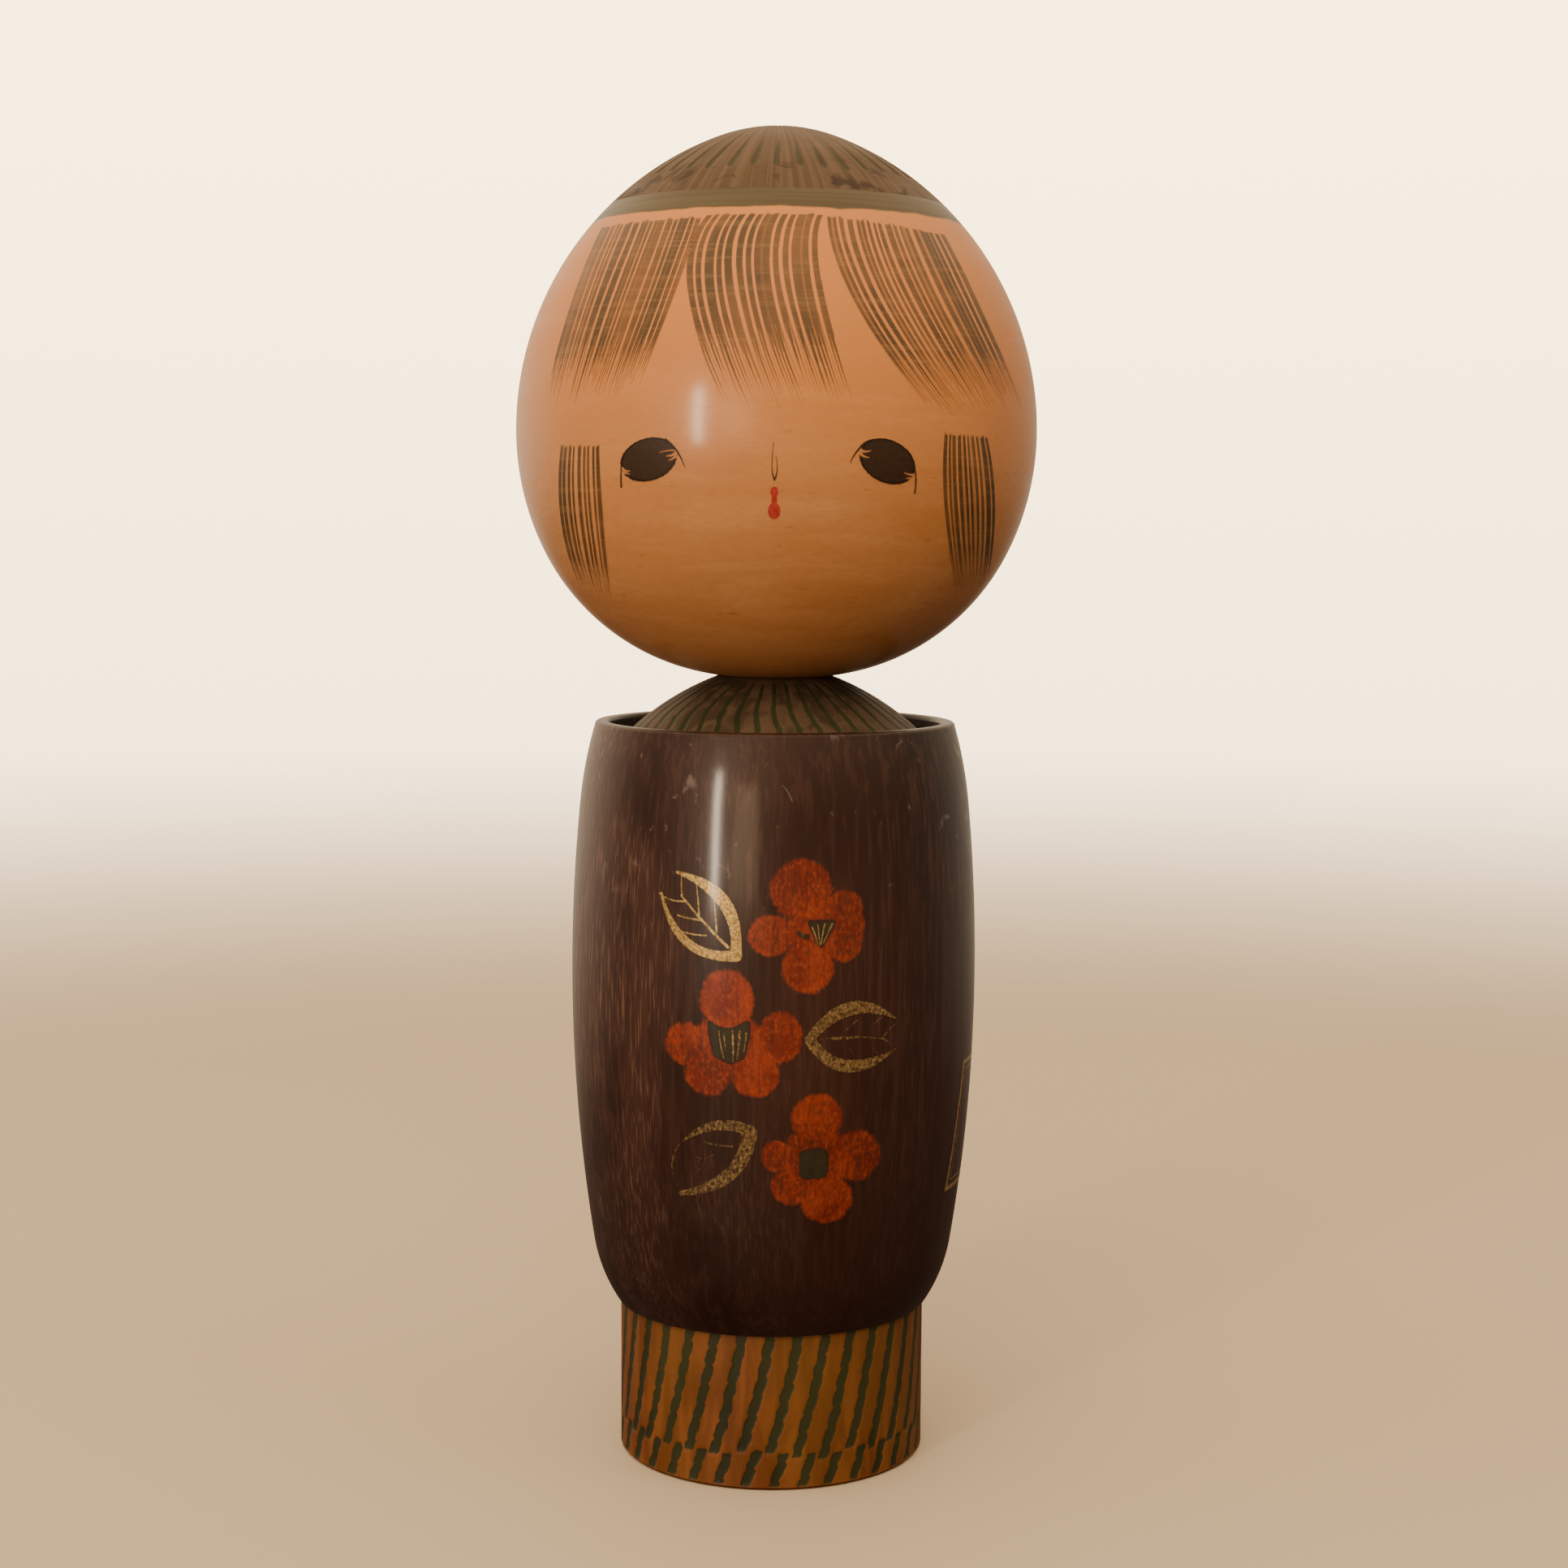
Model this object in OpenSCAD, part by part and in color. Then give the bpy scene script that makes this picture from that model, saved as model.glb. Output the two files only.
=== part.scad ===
// Kokeshi doll turned in wood: a ball head that swivels on a dowel, a post with a
// domed neck, and a barrel-shaped sleeve glued round the post. Millimetres, +Z up.
// The face looks along -Y, and the origin is the centre of the foot on the table.

/* [Post] */
// Diameter of the post, which shows below the sleeve
post_d = 58.2; // [45:0.1:75]
// Height of the post left bare below the sleeve
bare_h = 29.3; // [15:0.1:60]
// Height of the head's seat above the sleeve's rim
neck_rise = 8.6; // [4:0.1:14]
// Diameter of the seat, the flat on top of the dome
seat_d = 21.2; // [17:0.1:28]
// Height of the dome, from the post's side up to the seat
dome_h = 12.1; // [8:0.1:18]
// Radius of the dome's arc
dome_arc_r = 49.8; // [35:0.1:90]
// Chamfer round the foot
foot_chamfer = 0.6; // [0.2:0.1:1.5]

/* [Sleeve] */
// Length of the sleeve
sleeve_h = 110.9; // [85:0.1:150]
// Height of the belly, its widest place, above its lower edge
belly_h = 63.7; // [50:0.1:75]
// Thickness of its wall at the belly
belly_wall = 9.35; // [7:0.05:14]
// Radius of the long arc down its side
side_arc_r = 330; // [250:1:500]
// Length at the top that turns in faster, to the rim
shoulder_h = 15.2; // [8:0.1:20]
// Length at the bottom that turns in faster, to the lower edge
tuck_h = 11.7; // [6:0.1:16]
// Width of its lower edge
lower_edge_w = 0.6; // [0.3:0.1:3]
// Thickness of the rim
rim_t = 2.8; // [2:0.1:4]
// Width of the open recess between the rim and the post's side
recess_w = 2.25; // [1:0.05:4]
// Depth of that recess below the rim
recess_h = 8; // [4:0.1:12]
// Rounding of the rim's two edges
rim_edge_r = 0.8; // [0.2:0.1:0.9]

/* [Head] */
// Diameter of the head
head_d = 97.5; // [80:0.1:112]
// Height of its widest place above the seat
cheek_h = 45.5; // [36:0.1:56]
// Height of the crown's top above its widest place
crown_h = 56.4; // [47:0.1:70]
// Radius of the arc over the top of the crown
crown_arc_r = 32; // [20:0.5:36]
// Fullness of the cheeks, where 1 is one plain arc down to the seat
fullness = 1.09; // [1:0.01:1.15]
// Angle below the widest place at which the cheek turns into the chin
chin_angle = 26; // [15:1:40]

/* [Neck dowel] */
// Diameter of the dowel
dowel_d = 12; // [8:0.1:15]
// Length of the dowel glued into the post
dowel_in_post = 24; // [15:0.5:40]
// Length of the dowel inside the head
dowel_in_head = 28; // [15:0.5:40]
// Chamfer at both ends of the dowel
dowel_chamfer = 1; // [0.2:0.1:2]

/* [Fits] */
// Radial gap filled with glue, round the dowel in the post and inside the sleeve
glue_gap = 0.05; // [0.01:0.01:0.15]
// Radial clearance on which the head turns round the dowel
turn_gap = 0.08; // [0.05:0.01:0.1]
// Space left above the dowel's end in the head
end_gap = 1.5; // [0.5:0.1:4]

/* [Hidden] */
ARC_STEPS = 16;
TURN_FN = 144;
WOOD = "#a06a34";
KIMONO = "#3b1c1f";
FACE = "#c98846";
DOWEL = "#d6b27c";

// Heights above the table
rim_z = bare_h + sleeve_h;
seat_z = rim_z + neck_rise;
cheek_z = seat_z + cheek_h;
top_z = cheek_z + crown_h;

// Radii from the axis
post_r = post_d / 2;
seat_r = seat_d / 2;
dowel_r = dowel_d / 2;
head_r = head_d / 2;
bore_r = post_r + glue_gap;
recess_r = post_r + recess_w;
rim_r = recess_r + rim_t;
belly_r = post_r + belly_wall;

// Point at angle a on the circle of radius r round c
function on_circle(c, r, a) = c + r * [cos(a), sin(a)];

// Points along an arc from angle a0 to a1, without its first point, where the outline
// already is
function arc(c, r, a0, a1) =
    [for (i = [1:ARC_STEPS]) on_circle(c, r, a0 + (a1 - a0) * i / ARC_STEPS)];

// Arc of radius r from point s to point e, bulging away from the axis
function arc_between(s, e, r) =
    let (
        v = e - s,
        c = (s + e) / 2 + sqrt(r * r - v * v / 4) * [-v.y, v.x] / norm(v)
    )
    arc(c, r, atan2(s.y - c.y, s.x - c.x), atan2(e.y - c.y, e.x - c.x));

// Arc that leaves point t, where the outline faces angle a, without a kink and ends at e
function arc_on(t, a, e) =
    let (
        d = t - e,
        r = (d * d) / (2 * d * [cos(a), sin(a)]),
        v = (e - on_circle(t, -r, a)) / r
    )
    arc(on_circle(t, -r, a), r, a, atan2(v.y, v.x));

function reversed(points) = [for (i = [len(points) - 1:-1:0]) points[i]];

// A solid turned round the axis, from half of its section
module turned(points) {
    rotate_extrude($fn = TURN_FN) polygon(points);
}

// A round hole on the axis
module bore(r, z0, z1) {
    translate([0, 0, z0]) cylinder(r = r, h = z1 - z0, $fn = TURN_FN);
}

// The post: a chamfered foot, a straight side, and a dome with a flat for the head
module post() {
    edge = [post_r, seat_z - dome_h];
    seat_edge = [seat_r, seat_z];
    color(WOOD) difference() {
        turned(concat(
            [[0, 0], [post_r - foot_chamfer, 0], [post_r, foot_chamfer], edge],
            arc_between(edge, seat_edge, dome_arc_r),
            [[0, seat_z]]
        ));
        bore(dowel_r + glue_gap, seat_z - dowel_in_post, seat_z + 1);
    }
}

// The sleeve, a barrel-shaped tube: a long arc down its side, a faster one at each end,
// a rounded rim with an open recess inside it, and the bore for the post
module sleeve() {
    side_c = [belly_r - side_arc_r, bare_h + belly_h];
    tuck_a = asin((tuck_h - belly_h) / side_arc_r);
    shoulder_a = asin((sleeve_h - shoulder_h - belly_h) / side_arc_r);
    tuck_top = on_circle(side_c, side_arc_r, tuck_a);
    shoulder = on_circle(side_c, side_arc_r, shoulder_a);
    lower_edge = [bore_r + lower_edge_w, bare_h];
    edge_z = rim_z - rim_edge_r;
    color(KIMONO) turned(concat(
        [[bore_r, bare_h], lower_edge],
        reversed(arc_on(tuck_top, tuck_a, lower_edge)),
        [tuck_top],
        arc(side_c, side_arc_r, tuck_a, shoulder_a),
        arc_on(shoulder, shoulder_a, [rim_r, edge_z]),
        arc([rim_r - rim_edge_r, edge_z], rim_edge_r, 0, 90),
        [[recess_r + rim_edge_r, rim_z]],
        arc([recess_r + rim_edge_r, edge_z], rim_edge_r, 90, 180),
        [[recess_r, rim_z - recess_h], [bore_r, rim_z - recess_h]]
    ));
}

// The dowel, glued into the post and standing up into the head
module neck_dowel() {
    low = seat_z - dowel_in_post;
    high = seat_z + dowel_in_head;
    color(DOWEL) turned([
        [0, low], [dowel_r - dowel_chamfer, low], [dowel_r, low + dowel_chamfer],
        [dowel_r, high - dowel_chamfer], [dowel_r - dowel_chamfer, high], [0, high]
    ]);
}

// The head: crown, brow, cheek and chin arcs from the top down to the seat, bored from
// below for the dowel
module head() {
    brow_arc_r = (pow(head_r, 2) + pow(crown_h, 2) - 2 * crown_h * crown_arc_r)
        / (2 * (head_r - crown_arc_r));
    crown_a = atan2(crown_h - crown_arc_r, brow_arc_r - head_r);
    plain_arc_r = (pow(head_r - seat_r, 2) + pow(cheek_h, 2)) / (2 * (head_r - seat_r));
    cheek_arc_r = fullness * plain_arc_r;
    cheek_c = [head_r - cheek_arc_r, cheek_z];
    color(FACE) difference() {
        turned(concat(
            [[0, top_z]],
            arc([0, top_z - crown_arc_r], crown_arc_r, 90, crown_a),
            arc([head_r - brow_arc_r, cheek_z], brow_arc_r, crown_a, 0),
            arc(cheek_c, cheek_arc_r, 0, -chin_angle),
            arc_on(on_circle(cheek_c, cheek_arc_r, -chin_angle), -chin_angle, [seat_r, seat_z]),
            [[0, seat_z]]
        ));
        bore(dowel_r + turn_gap, seat_z - 1, seat_z + dowel_in_head + end_gap);
    }
}

post();
sleeve();
neck_dowel();
head();
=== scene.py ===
import math

import bpy
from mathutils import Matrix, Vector, noise


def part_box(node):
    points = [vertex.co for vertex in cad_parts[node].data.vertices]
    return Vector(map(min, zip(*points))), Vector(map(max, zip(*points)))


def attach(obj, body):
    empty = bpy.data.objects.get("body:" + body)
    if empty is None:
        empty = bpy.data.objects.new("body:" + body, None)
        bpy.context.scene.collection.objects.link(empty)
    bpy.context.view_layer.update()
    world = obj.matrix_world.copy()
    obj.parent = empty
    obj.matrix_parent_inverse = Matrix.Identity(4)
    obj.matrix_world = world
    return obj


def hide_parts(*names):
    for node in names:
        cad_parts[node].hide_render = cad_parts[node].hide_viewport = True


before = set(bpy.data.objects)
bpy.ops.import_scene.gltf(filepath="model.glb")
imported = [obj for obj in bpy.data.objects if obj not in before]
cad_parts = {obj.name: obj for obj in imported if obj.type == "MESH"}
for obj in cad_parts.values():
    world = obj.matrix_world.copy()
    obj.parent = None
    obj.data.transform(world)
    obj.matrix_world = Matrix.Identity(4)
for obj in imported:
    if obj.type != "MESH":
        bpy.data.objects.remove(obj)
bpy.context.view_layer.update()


# Post: one turned length of wood, bare below the sleeve and domed above it. The dome and the bare foot
# carry rows of shallow chatter grooves, cut on the lathe and rubbed with green stain.
post_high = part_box("post")[1]
post_r = post_high.x
seat_z = post_high.z
seat_r = 0.0106
dome_h = 0.0121
dome_edge_z = seat_z - dome_h
dome_arc_r = 0.0498
foot_chamfer = 0.0006
dowel_low, dowel_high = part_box("neck_dowel")
glue_gap = 0.00005
dowel_hole_r = dowel_high.x + glue_gap
sleeve_low, sleeve_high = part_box("sleeve")
foot_groove_count = 35
dome_groove_count = 42
foot_groove_slant = math.radians(15)
foot_groove_depth = 0.00014
foot_groove_end_z = 0.0068
foot_groove_top_z = sleeve_low.z + 0.003
dome_groove_low_z = sleeve_high.z - 0.009
foot_top_z = sleeve_low.z + 0.001
hidden_top_z = sleeve_high.z - 0.0095
post_steps = 714
foot_row_h = 0.00045


def arc(centre, radius, start, end, steps):
    """Points along an arc in (radius, height) from one angle to another, the first left out."""
    turns = [start + (end - start) * step / steps for step in range(1, steps + 1)]
    return [(centre[0] + radius * math.cos(turn), centre[1] + radius * math.sin(turn)) for turn in turns]


def arc_between(start, end, radius, steps):
    """Points along an arc that bulges outwards from one (radius, height) point up or down to another."""
    chord = (end[0] - start[0], end[1] - start[1])
    length = math.hypot(*chord)
    side = 1 if chord[1] > 0 else -1
    reach = math.sqrt(radius ** 2 - (length / 2) ** 2) * side
    centre = ((start[0] + end[0]) / 2 - chord[1] / length * reach,
              (start[1] + end[1]) / 2 + chord[0] / length * reach)
    first = math.atan2(start[1] - centre[1], start[0] - centre[0])
    last = math.atan2(end[1] - centre[1], end[0] - centre[0])
    return arc(centre, radius, first, last, steps)


def straight(start, end, steps):
    """Points along a straight line between two (radius, height) points, the first left out."""
    shares = [step / steps for step in range(1, steps + 1)]
    return [tuple(a + (b - a) * share for a, b in zip(start, end)) for share in shares]


def select_none():
    if bpy.context.object and bpy.context.object.mode == "EDIT":
        bpy.ops.object.mode_set(mode="OBJECT")
    bpy.ops.object.select_all(action="DESELECT")


def turned(name, outline, steps):
    """Extrudes one point along an outline and turns that round the Z axis into a closed solid."""
    same_place = 0.000002
    crease = math.radians(35)
    select_none()
    bpy.ops.mesh.primitive_plane_add(size=0.001)
    piece = bpy.context.object
    piece.name = piece.data.name = name
    bpy.ops.object.mode_set(mode="EDIT")
    bpy.ops.mesh.select_mode(type="VERT")
    bpy.ops.mesh.merge(type="CENTER")
    bpy.ops.transform.translate(value=(outline[0][0], 0, outline[0][1]))
    for here, there in zip(outline, outline[1:]):
        step = (there[0] - here[0], 0, there[1] - here[1])
        bpy.ops.mesh.extrude_region_move(TRANSFORM_OT_translate={"value": step})
    bpy.ops.object.mode_set(mode="OBJECT")
    lathe = piece.modifiers.new("lathe", "SCREW")
    lathe.steps = lathe.render_steps = steps
    lathe.use_merge_vertices = True
    lathe.merge_threshold = same_place
    bpy.ops.object.modifier_apply(modifier=lathe.name)
    bpy.ops.object.transform_apply(location=True, rotation=True, scale=True)
    bpy.ops.object.mode_set(mode="EDIT")
    bpy.ops.mesh.select_all(action="SELECT")
    bpy.ops.mesh.remove_doubles(threshold=same_place)
    bpy.ops.mesh.normals_make_consistent(inside=False)
    bpy.ops.object.mode_set(mode="OBJECT")
    bpy.ops.object.shade_smooth_by_angle(angle=crease)
    return piece


def ramp(value, low, high):
    """0 below low, 1 above high, and a smooth slope between them; low may be the larger."""
    share = min(max((value - low) / (high - low), 0), 1)
    return share * share * (3 - 2 * share)


def waver(*place):
    """Smooth noise from -1 to 1 at a place."""
    return noise.noise(Vector(place + (0,) * (3 - len(place))))


def cut_grooves(piece, share_at, depth):
    """Presses the grooves into a turned piece, and keeps their shares as an attribute for the stain."""
    shares = [share_at(point.co) for point in piece.data.vertices]
    group = piece.vertex_groups.new(name="groove")
    for index, share in enumerate(shares):
        if share > 0:
            group.add([index], share, "REPLACE")
    stain = piece.data.attributes.new("stain", "FLOAT", "POINT")
    stain.data.foreach_set("value", shares)
    press = piece.modifiers.new("grooves", "DISPLACE")
    press.vertex_group = group.name
    press.mid_level = 0
    press.strength = -depth
    bpy.context.view_layer.objects.active = piece
    bpy.ops.object.modifier_apply(modifier=press.name)


def chained_dashes(place, z):
    """Share of a ragged groove, cut as a chain of short dashes, at a place counted in grooves."""
    dash_h = 0.0036
    number = math.floor(place)
    dash = z / dash_h + 3 * waver(number * 2.3, 7)
    swell = abs(math.sin(math.pi * dash)) ** 0.6
    lean = 0.05 * (dash % 1 - 0.5)
    ragged = 0.045 * waver(place * 3, z * 900, number)
    off = abs(place - number - 0.5 - lean + 0.05 * waver(number, z * 120))
    width = 0.145 + 0.055 * swell + ragged
    return ramp(off, width + 0.05, width - 0.05)


def foot_groove(turn, z):
    """Share of a groove at a turn round the foot: slanted chains, with stubs between their ends."""
    pitch = math.tau * post_r / foot_groove_count
    slide = z * math.tan(foot_groove_slant) * (1.35 - 0.72 * z / sleeve_low.z / 2) / pitch
    place = turn * foot_groove_count / math.tau - slide
    end = foot_groove_end_z - 0.0010 + 0.0022 * waver(math.floor(place) * 1.7, 3)
    chain = chained_dashes(place, z) * ramp(z, end, end + 0.0009)
    stub_place = place + 0.45
    top = foot_groove_end_z + 0.0008 + 0.0018 * waver(math.floor(stub_place) * 1.3, 5)
    stub = chained_dashes(stub_place, z + 0.0017) * ramp(z, top, top - 0.0009) * ramp(z, 0.0004, 0.0010)
    return max(chain, stub)


def dome_groove(turn, z):
    """Share of a groove on the dome: fine rays that bend a little on their way up to the seat."""
    rise = (z - dome_edge_z) / (seat_z - dome_edge_z)
    bend = 0.55 * math.sin(2.4 * rise)
    place = turn * dome_groove_count / math.tau + bend + 0.12 * waver(z * 260, turn)
    number = math.floor(place)
    ragged = 0.05 * waver(place * 4, z * 1100, number)
    width = 0.15 + 0.02 * rise + ragged
    share = ramp(abs(place - number - 0.5), width + 0.06, width - 0.06)
    return share * ramp(z, seat_z - 0.0002, seat_z - 0.0012) * (1 - 0.35 * rise)


def post_groove(point):
    radius = math.hypot(point.x, point.y)
    turn = math.atan2(point.x, -point.y)
    if radius < seat_r or point.z < 0.0004:
        return 0
    if point.z < foot_groove_top_z:
        return foot_groove(turn, point.z)
    if point.z > dome_groove_low_z:
        return dome_groove(turn, point.z)
    return 0


def shader_node(material, kind, inputs=None, **settings):
    """Adds a shader node. An input given as a socket is linked, and any other is set."""
    made = material.node_tree.nodes.new("ShaderNode" + kind)
    for name, value in settings.items():
        setattr(made, name, value)
    for name, value in (inputs or {}).items():
        if isinstance(value, bpy.types.NodeSocket):
            material.node_tree.links.new(value, made.inputs[name])
        else:
            made.inputs[name].default_value = value
    return made


def blended(material, share, first, second):
    """Mixes two colours by a share and returns the colour."""
    factor, colour_a, colour_b, result = 0, 6, 7, 2
    made = shader_node(material, "Mix", {factor: share}, data_type="RGBA")
    for place, colour in ((colour_a, first), (colour_b, second)):
        if isinstance(colour, bpy.types.NodeSocket):
            material.node_tree.links.new(colour, made.inputs[place])
        else:
            made.inputs[place].default_value = (*colour, 1)
    return made.outputs[result]


def in_range(material, value, low, high, to_low=0.0, to_high=1.0):
    """Maps a value smoothly from low..high to to_low..to_high, and clamps it."""
    inputs = {"Value": value, 1: low, 2: high, 3: to_low, 4: to_high}
    return shader_node(material, "MapRange", inputs, interpolation_type="SMOOTHSTEP").outputs[0]


def worked(material, operation, first, second=0.0):
    return shader_node(material, "Math", {0: first, 1: second}, operation=operation).outputs[0]


def object_place(material):
    return shader_node(material, "TexCoord").outputs["Object"]


def height(material):
    return shader_node(material, "SeparateXYZ", {0: object_place(material)}).outputs["Z"]


def grain(material, scale, detail=3.0, distortion=0.0, shift=(0, 0, 0)):
    """Noise from 0 to 1 stretched by its scale along X, Y and Z, in repeats to the metre."""
    stretch = {"Vector": object_place(material), "Location": shift, "Scale": scale}
    place = shader_node(material, "Mapping", stretch).outputs[0]
    inputs = {"Vector": place, "Scale": 1.0, "Detail": detail, "Distortion": distortion}
    return shader_node(material, "TexNoise", inputs).outputs[0]


def finish_material(name):
    """A new material with its principled shader, ready for colour."""
    material = bpy.data.materials.new(name)
    material.use_nodes = True
    shader = material.node_tree.nodes["Principled BSDF"]
    return material, shader


def join_sockets(material, output, socket):
    material.node_tree.links.new(output, socket)


def bumped(material, shader, *rises):
    """Raises the surface by each (share, depth in metres) pair in turn."""
    normal = None
    for share, depth in rises:
        inputs = {"Height": share, "Distance": depth, "Strength": 1.0}
        if normal:
            inputs["Normal"] = normal
        normal = shader_node(material, "Bump", inputs).outputs[0]
    join_sockets(material, normal, shader.inputs["Normal"])


def give_material(piece, material):
    piece.data.materials.clear()
    piece.data.materials.append(material)


post_outline = [(0, 0), (post_r - foot_chamfer, 0), (post_r, foot_chamfer)]
foot_rows = round((foot_top_z - foot_chamfer) / foot_row_h)
post_outline += straight((post_r, foot_chamfer), (post_r, foot_top_z), foot_rows)
post_outline += [(post_r, hidden_top_z)]
post_outline += straight(post_outline[-1], (post_r, dome_edge_z), 10)
post_outline += arc_between((post_r, dome_edge_z), (seat_r, seat_z), dome_arc_r, 44)
post_outline += [(dowel_hole_r, seat_z), (dowel_hole_r, dowel_low.z), (0, dowel_low.z)]
post = turned("post_turned", post_outline, post_steps)
cut_grooves(post, post_groove, foot_groove_depth)

post_wood, shader = finish_material("post_wood")
rise = height(post_wood)
streaks = grain(post_wood, (260, 260, 45), 4.0, 0.6)
lathe_lines = grain(post_wood, (14, 14, 1900), 2.0)
patches = grain(post_wood, (42, 42, 24), 3.0)
specks = grain(post_wood, (1300, 1300, 600), 2.0)
fresh_tones = (0.130, 0.041, 0.0090), (0.205, 0.069, 0.016)
dome_aged_and_shaded_tones = (0.052, 0.035, 0.021), (0.098, 0.061, 0.036)
stain_tones = (0.013, 0.021, 0.008), (0.030, 0.038, 0.014)
wood = blended(post_wood, in_range(post_wood, streaks, 0.35, 0.65), *fresh_tones)
wood = blended(post_wood, in_range(post_wood, patches, 0.4, 0.7, 0.0, 0.55), wood, (0.17, 0.080, 0.020))
wood = blended(post_wood, in_range(post_wood, specks, 0.62, 0.72, 0.0, 0.5), wood, (0.12, 0.05, 0.02))
# From 0.10 m up the post turns greyer and darker: partly aged wood, partly painted shade under the head.
dome_aged_and_shaded = blended(post_wood, in_range(post_wood, streaks, 0.4, 0.6), *dome_aged_and_shaded_tones)
wood = blended(post_wood, in_range(post_wood, rise, 0.10, 0.13), wood, dome_aged_and_shaded)
stain = shader_node(post_wood, "Attribute", attribute_name="stain").outputs["Fac"]
speckle = worked(post_wood, "MULTIPLY", worked(post_wood, "SUBTRACT", specks, 0.5), 0.9)
stained = worked(post_wood, "ADD", stain, speckle)
stain_share = in_range(post_wood, stained, 0.30, 0.72, 0.0, 0.93)
green = blended(post_wood, in_range(post_wood, patches, 0.35, 0.65), *stain_tones)
join_sockets(post_wood, blended(post_wood, stain_share, wood, green), shader.inputs["Base Color"])
join_sockets(post_wood, in_range(post_wood, streaks, 0.3, 0.7, 0.42, 0.6), shader.inputs["Roughness"])
bumped(post_wood, shader, (lathe_lines, 0.000012), (specks, 0.00003))
shader.inputs["Specular IOR Level"].default_value = 0.25
give_material(post, post_wood)
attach(post, "body")
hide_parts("post")


# Sleeve: a barrel turned from thicker wood, bored through and glued round the post as the kimono. Its top
# ends in a thin rim that stands clear of the dome. It is lacquered dark red brown and worn at the pores,
# and
# its colour carries painted light: a reflection on the left, a glow on the front and shade low down.
bore_r = post_r + glue_gap
rim_t = 0.0028
recess_w = 0.0022
recess_r = bore_r + recess_w
recess_floor_z = sleeve_high.z - 0.008
belly_z = sleeve_low.z + 0.0637
side_arc_r = 0.330
tuck_z = sleeve_low.z + 0.0117
shoulder_z = sleeve_high.z - 0.0152
rim_edge_r = 0.0008
lower_lip_w = 0.0006
sleeve_steps = 320


def angle_on(centre_z, radius, z):
    return math.asin((z - centre_z) / radius)


def arc_on(start, heading, end, steps):
    """Points along the arc that leaves start square to the heading angle and ends at end."""
    step = (start[0] - end[0], start[1] - end[1])
    along = step[0] * math.cos(heading) + step[1] * math.sin(heading)
    radius = (step[0] ** 2 + step[1] ** 2) / (2 * along)
    centre = (start[0] - radius * math.cos(heading), start[1] - radius * math.sin(heading))
    last = math.atan2((end[1] - centre[1]) / radius, (end[0] - centre[0]) / radius)
    return arc(centre, radius, heading, last, steps)


belly_r = sleeve_high.x
side_centre = (belly_r - side_arc_r, belly_z)
tuck_turn = angle_on(belly_z, side_arc_r, tuck_z)
shoulder_turn = angle_on(belly_z, side_arc_r, shoulder_z)
tuck_point = (side_centre[0] + side_arc_r * math.cos(tuck_turn), tuck_z)
shoulder_point = (side_centre[0] + side_arc_r * math.cos(shoulder_turn), shoulder_z)
lower_edge = (bore_r + lower_lip_w, sleeve_low.z)
rim_r = recess_r + rim_t
rim_z = sleeve_high.z - rim_edge_r
rim_start = 0.25
tuck_points = arc_on(tuck_point, tuck_turn, lower_edge, 20)[::-1]
sleeve_outline = [(bore_r, recess_floor_z), (bore_r, sleeve_low.z)] + tuck_points + [tuck_point]
sleeve_outline += arc(side_centre, side_arc_r, tuck_turn, shoulder_turn, 50)
sleeve_outline += arc_on(shoulder_point, shoulder_turn, (rim_r, rim_z), 24)
sleeve_outline += arc((rim_r - rim_edge_r, rim_z), rim_edge_r, rim_start, math.pi / 2, 6)
sleeve_outline += arc((recess_r + rim_edge_r, rim_z), rim_edge_r, math.pi / 2, math.pi, 6)
sleeve_outline += [(recess_r, recess_floor_z), (bore_r, recess_floor_z)]
sleeve = turned("sleeve_turned", sleeve_outline, sleeve_steps)


def lacquer_colour(material):
    """Dark red-brown lacquer over grain that runs up the sleeve, pale where the pores have worn open, with
    painted light: a reflection paling the left, a warm glow on the front and shade darkening the bottom.
    """
    across = shader_node(material, "SeparateXYZ", {0: object_place(material)})
    clouds = grain(material, (26, 26, 11), 3.0)
    streaks = grain(material, (800, 800, 50), 4.0, 0.4)
    pores = grain(material, (2300, 2300, 150), 2.0)
    rubbed = grain(material, (60, 60, 26), 4.0, 0.5, shift=(0.3, 0.1, 0))
    brown_tones = (0.014, 0.0046, 0.0037), (0.034, 0.0118, 0.0082)
    colour = blended(material, in_range(material, clouds, 0.38, 0.62), *brown_tones)
    streaked = in_range(material, streaks, 0.45, 0.66, 0.0, 0.6)
    colour = blended(material, streaked, colour, (0.060, 0.025, 0.0175))
    # Painted glow: the front of the sleeve is tinted warmer and lighter, where the light falls on it.
    front = in_range(material, across.outputs["Y"], -0.020, -0.036)
    colour = blended(material, worked(material, "MULTIPLY", front, 0.28), colour, (0.055, 0.019, 0.0085))
    # Paler on the left: real wear everywhere, made stronger on the left by a painted reflection of the
    # window, on the lacquer and in the pores.
    left = in_range(material, across.outputs["X"], 0.006, -0.030)
    worn = worked(material, "ADD", left, 0.25)
    worn = worked(material, "MULTIPLY", worn, in_range(material, rubbed, 0.36, 0.66))
    pore_wear_and_sheen = worked(material, "MULTIPLY", worn, in_range(material, pores, 0.5, 0.68, 0.0, 0.62))
    colour = blended(material, worked(material, "MULTIPLY", worn, 0.3), colour, (0.085, 0.034, 0.023))
    colour = blended(material, pore_wear_and_sheen, colour, (0.155, 0.078, 0.052))
    scuffs = grain(material, (300, 300, 210), 3.0, 0.8, shift=(0.07, 0, 0.02))
    high = in_range(material, across.outputs["Z"], 0.104, 0.124)
    scuffed = worked(material, "MULTIPLY", high, in_range(material, scuffs, 0.635, 0.73, 0.0, 0.42))
    colour = blended(material, scuffed, colour, (0.25, 0.19, 0.16))
    # Painted shade: the sleeve darkens towards the bottom, where less light reaches it.
    low = in_range(material, across.outputs["Z"], 0.085, 0.040, 0.0, 0.45)
    return blended(material, low, colour, (0.010, 0.0022, 0.0012))


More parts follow.
